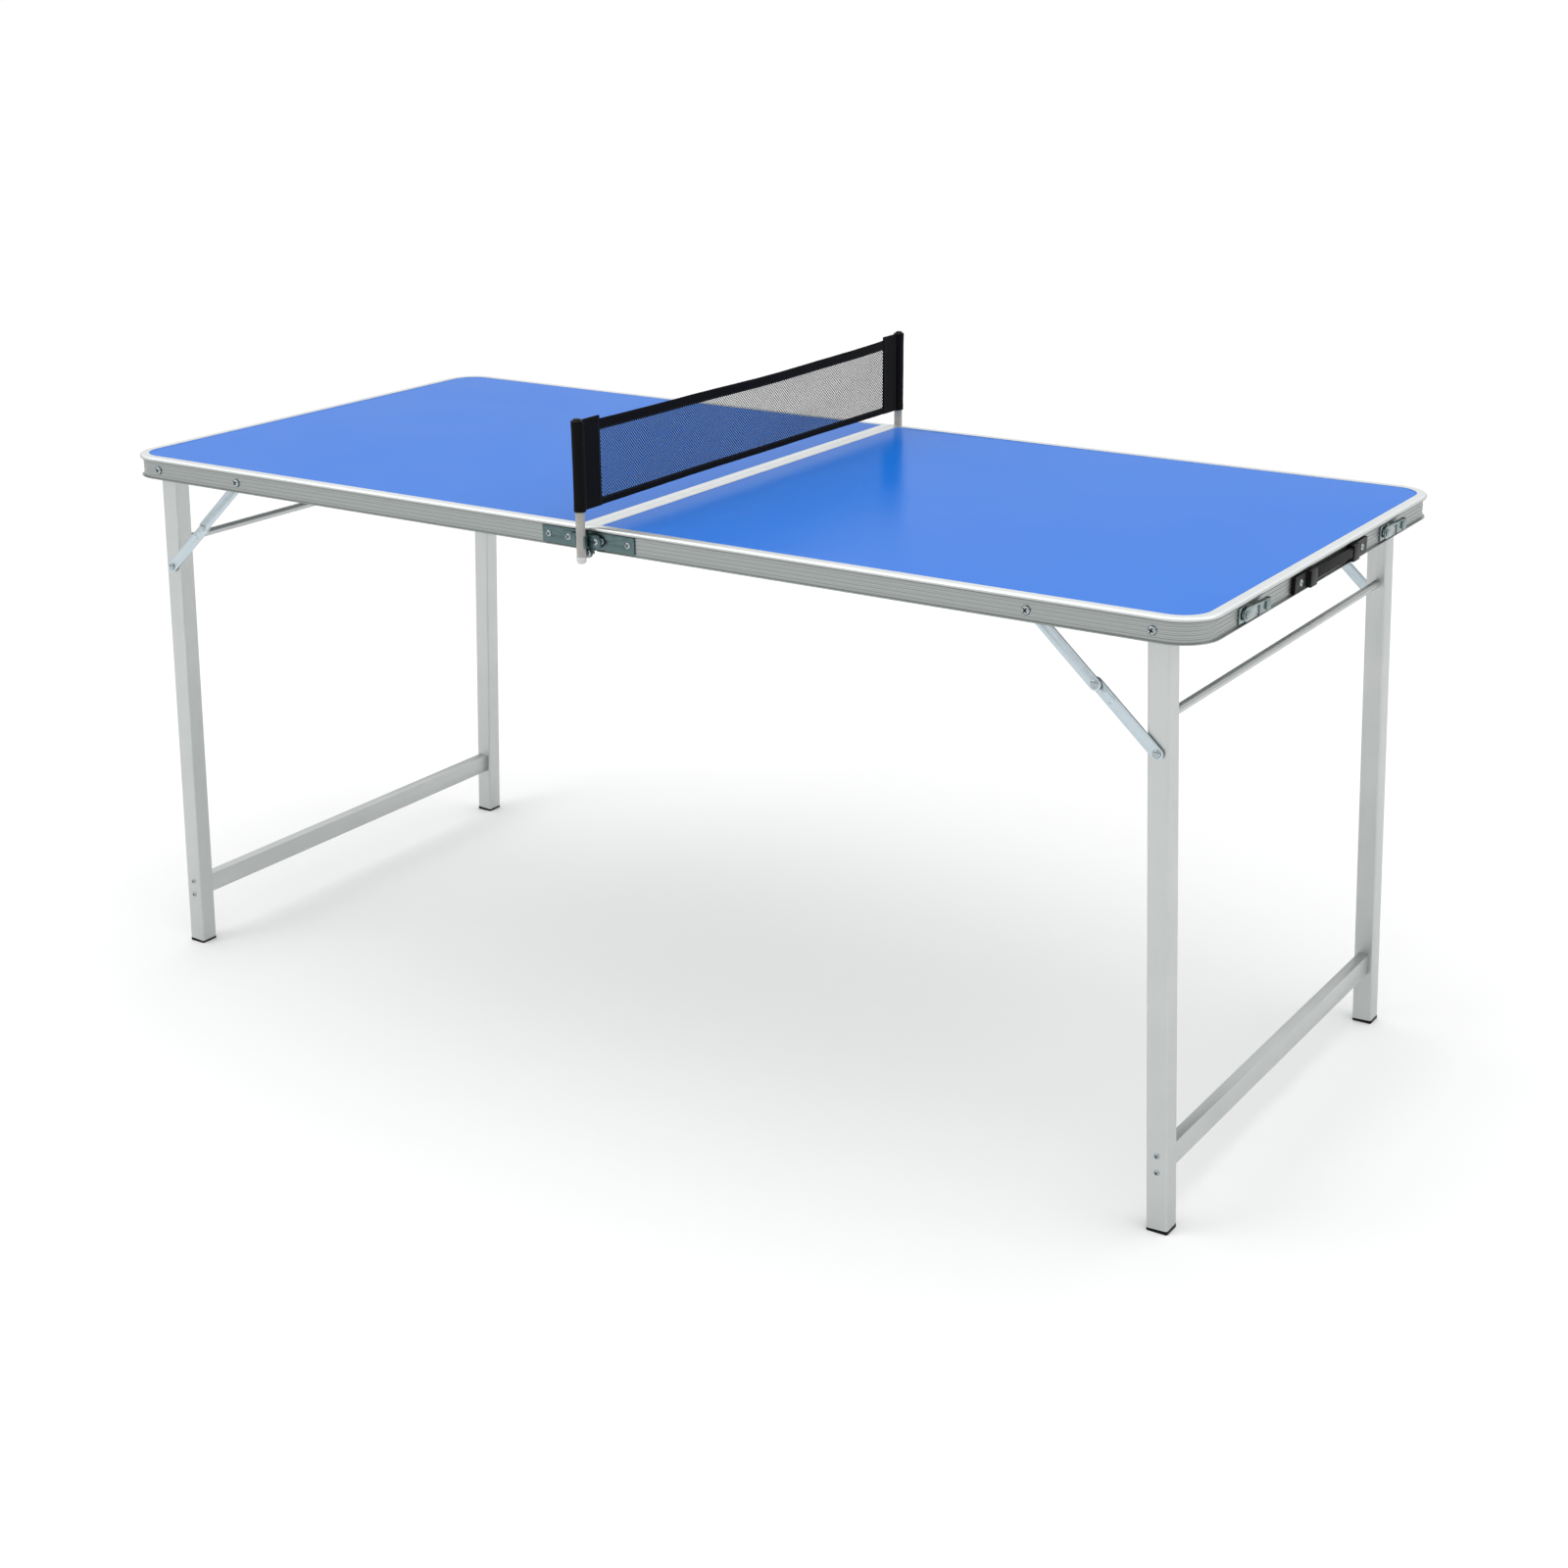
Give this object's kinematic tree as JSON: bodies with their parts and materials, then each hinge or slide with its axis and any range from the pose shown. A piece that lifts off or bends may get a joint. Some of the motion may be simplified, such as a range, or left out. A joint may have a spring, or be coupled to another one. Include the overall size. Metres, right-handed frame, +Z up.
{
  "type": "folding table-tennis table",
  "caption": "Folding junior table-tennis table with framed blue boards, folding leg frames, knee braces, clip-on net, latches and carrying handle.",
  "frame": {"origin": "centre of the table at floor level, under the middle seam", "axes": "+X along the table towards the end with the handle, +Y across the table away from the side seen first, +Z up"},
  "size_m": [1.5336, 0.724, 0.8235],
  "materials": {
    "blue_laminate": "smooth satin-gloss blue laminate",
    "rail_alloy": "satin anodised extrusion",
    "leg_alloy": "satin anodised tube",
    "zinc_plate": "blue zinc plated pressed steel",
    "bright_fastener": "bright zinc plated heads",
    "black_plastic": "moulded black plastic",
    "post_plastic": "pale grey moulded plastic",
    "net_binding": "black woven polyester binding",
    "net_cloth": "open black mesh"
  },
  "bodies": {
    "left_half": {"left_board": "blue_laminate", "left_edge_rail": "rail_alloy", "left_seam_rail": "rail_alloy", "left_hinge_plates": "zinc_plate", "hinge_pins": "bright_fastener", "hinge_screws_left": "bright_fastener", "net_clips": "zinc_plate", "net_clip_rivets": "bright_fastener", "left_frame_bolts": "bright_fastener", "left_spacers": "zinc_plate", "catch_studs": "zinc_plate"},
    "right_half": {"right_board": "blue_laminate", "right_edge_rail": "rail_alloy", "right_seam_rail": "rail_alloy", "right_hinge_plates": "zinc_plate", "hinge_screws_right": "bright_fastener", "right_frame_bolts": "bright_fastener", "right_spacers": "zinc_plate", "handle_ends": "black_plastic", "handle_screws": "bright_fastener", "latch_bases": "zinc_plate"},
    "left_legs": {"left_leg_front": "leg_alloy", "left_leg_rear": "leg_alloy", "left_leg_plugs": "black_plastic", "left_feet": "black_plastic", "left_low_bar": "leg_alloy", "left_high_bar": "leg_alloy", "left_bar_screws": "bright_fastener", "left_brace_pins": "bright_fastener"},
    "right_legs": {"right_leg_front": "leg_alloy", "right_leg_rear": "leg_alloy", "right_leg_plugs": "black_plastic", "right_feet": "black_plastic", "right_low_bar": "leg_alloy", "right_high_bar": "leg_alloy", "right_bar_screws": "bright_fastener", "right_brace_pins": "bright_fastener"},
    "net_set": {"net_posts": "post_plastic", "net_post_tops": "black_plastic", "net_post_feet": "post_plastic", "net_sleeves": "net_binding", "net_top_band": "net_binding", "net_low_band": "net_binding", "net_mesh": "net_cloth"},
    "handle_bail": {"handle_grip": "black_plastic"},
    "hook_near_body": {"hook_near": "zinc_plate"},
    "hook_far_body": {"hook_far": "zinc_plate"},
    "left_front_high_body": {"left_front_high_link": "zinc_plate"},
    "left_front_low_body": {"left_front_low_link": "zinc_plate"},
    "left_rear_high_body": {"left_rear_high_link": "zinc_plate"},
    "left_rear_low_body": {"left_rear_low_link": "zinc_plate"},
    "right_front_high_body": {"right_front_high_link": "zinc_plate"},
    "right_front_low_body": {"right_front_low_link": "zinc_plate"},
    "right_rear_high_body": {"right_rear_high_link": "zinc_plate"},
    "right_rear_low_body": {"right_rear_low_link": "zinc_plate"}
  },
  "joints": [
    {"name": "halves_fold", "type": "hinge", "parent": "left_half", "child": "right_half", "pos_m": [0, 0, 0.6663], "axis": [0, 1, 0], "range_deg": [0, 90]},
    {"name": "right_legs_fold", "type": "hinge", "parent": "right_half", "child": "right_legs", "pos_m": [0.7055, 0, 0.6811], "axis": [0, 1, 0], "range_deg": [0, 92.7]},
    {"name": "left_legs_fold", "type": "hinge", "parent": "left_half", "child": "left_legs", "pos_m": [-0.7055, 0, 0.6811], "axis": [0, -1, 0], "range_deg": [0, 92.7]},
    {"name": "right_front_high_turn", "type": "hinge", "parent": "right_half", "child": "right_front_high_body", "pos_m": [0.5645, -0.3285, 0.6811], "axis": [0, -1, 0], "range_deg": [0, 42.05]},
    {"name": "right_front_low_turn", "type": "hinge", "parent": "right_legs", "child": "right_front_low_body", "pos_m": [0.71176, -0.3285, 0.54825], "axis": [0, 1, 0], "range_deg": [0, 45.24]},
    {"name": "right_rear_high_turn", "type": "hinge", "parent": "right_half", "child": "right_rear_high_body", "pos_m": [0.5645, 0.3285, 0.6811], "axis": [0, -1, 0], "range_deg": [0, 42.05]},
    {"name": "right_rear_low_turn", "type": "hinge", "parent": "right_legs", "child": "right_rear_low_body", "pos_m": [0.71176, 0.3285, 0.54825], "axis": [0, 1, 0], "range_deg": [0, 45.24]},
    {"name": "left_front_high_turn", "type": "hinge", "parent": "left_half", "child": "left_front_high_body", "pos_m": [-0.5645, -0.3285, 0.6811], "axis": [0, 1, 0], "range_deg": [0, 42.05]},
    {"name": "left_front_low_turn", "type": "hinge", "parent": "left_legs", "child": "left_front_low_body", "pos_m": [-0.71176, -0.3285, 0.54825], "axis": [0, -1, 0], "range_deg": [0, 45.24]},
    {"name": "left_rear_high_turn", "type": "hinge", "parent": "left_half", "child": "left_rear_high_body", "pos_m": [-0.5645, 0.3285, 0.6811], "axis": [0, 1, 0], "range_deg": [0, 42.05]},
    {"name": "left_rear_low_turn", "type": "hinge", "parent": "left_legs", "child": "left_rear_low_body", "pos_m": [-0.71176, 0.3285, 0.54825], "axis": [0, -1, 0], "range_deg": [0, 45.24]},
    {"name": "net_lift", "type": "slide", "parent": "left_half", "child": "net_set", "axis": [0, 0, 1], "range_m": [0, 0.1]},
    {"name": "handle_swing", "type": "hinge", "parent": "right_half", "child": "handle_bail", "pos_m": [0.7632, 0, 0.6855], "axis": [0, -1, 0], "range_deg": [0, 90]},
    {"name": "hook_near_swing", "type": "hinge", "parent": "right_half", "child": "hook_near_body", "pos_m": [0.76275, -0.238, 0.681], "axis": [-1, 0, 0], "range_deg": [0, 90]},
    {"name": "hook_far_swing", "type": "hinge", "parent": "right_half", "child": "hook_far_body", "pos_m": [0.76275, 0.17, 0.681], "axis": [-1, 0, 0], "range_deg": [0, 90]}
  ],
  "couplings": [
    {"joint": "right_front_high_turn", "follows": "right_legs_fold", "ratio": 0.45366},
    {"joint": "right_front_low_turn", "follows": "right_legs_fold", "ratio": 0.48808},
    {"joint": "right_rear_high_turn", "follows": "right_legs_fold", "ratio": 0.45366},
    {"joint": "right_rear_low_turn", "follows": "right_legs_fold", "ratio": 0.48808},
    {"joint": "left_front_high_turn", "follows": "left_legs_fold", "ratio": 0.45366},
    {"joint": "left_front_low_turn", "follows": "left_legs_fold", "ratio": 0.48808},
    {"joint": "left_rear_high_turn", "follows": "left_legs_fold", "ratio": 0.45366},
    {"joint": "left_rear_low_turn", "follows": "left_legs_fold", "ratio": 0.48808}
  ]
}
